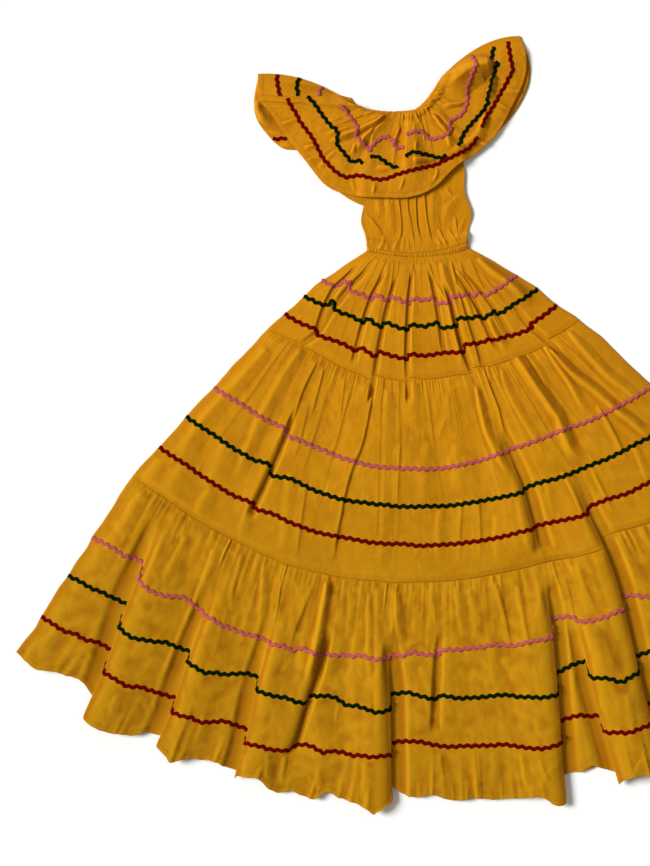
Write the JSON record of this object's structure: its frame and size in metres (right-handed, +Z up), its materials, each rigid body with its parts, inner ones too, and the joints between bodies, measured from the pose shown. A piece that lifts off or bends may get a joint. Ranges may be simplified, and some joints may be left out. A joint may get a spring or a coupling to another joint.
{
  "type": "off-shoulder tiered dress",
  "caption": "Off-shoulder long cotton dress laid flat: a deep flounce round the neck, an elastic waist and a gathered tiered skirt with rows of wavy braid.",
  "frame": {"origin": "centre of the bounding box's bottom face, on the surface that the dress lies on", "axes": "+X to the wearer's left, across the skirt; +Y from the hem to the neck; +Z up from the surface, out of the dress's front"},
  "size_m": [1.6188, 1.4566, 0.0322],
  "materials": {
    "cotton": "golden yellow plain-weave cotton, matt",
    "pink_braid": "woven wavy braid, matt",
    "green_braid": "woven wavy braid, matt",
    "red_braid": "woven wavy braid, matt"
  },
  "bodies": {
    "root": {"neck_casing_back": "cotton", "neck_casing_front": "cotton", "flounce_back": "cotton", "flounce_front": "cotton", "flounce_braid_pink": "pink_braid", "flounce_braid_green": "green_braid", "flounce_braid_red": "red_braid", "bodice_back": "cotton", "bodice_front": "cotton", "waist_casing_back": "cotton", "waist_casing_front": "cotton", "tier1_front": "cotton", "tier1_braid_pink": "pink_braid", "tier1_braid_green": "green_braid", "tier1_braid_red": "red_braid", "tier1_back": "cotton", "tier2_front": "cotton", "tier2_braid_pink": "pink_braid", "tier2_braid_green": "green_braid", "tier2_braid_red": "red_braid", "tier2_back": "cotton", "tier3_front": "cotton", "tier3_braid_pink": "pink_braid", "tier3_braid_green": "green_braid", "tier3_braid_red": "red_braid", "tier3_back": "cotton"}
  },
  "joints": []
}
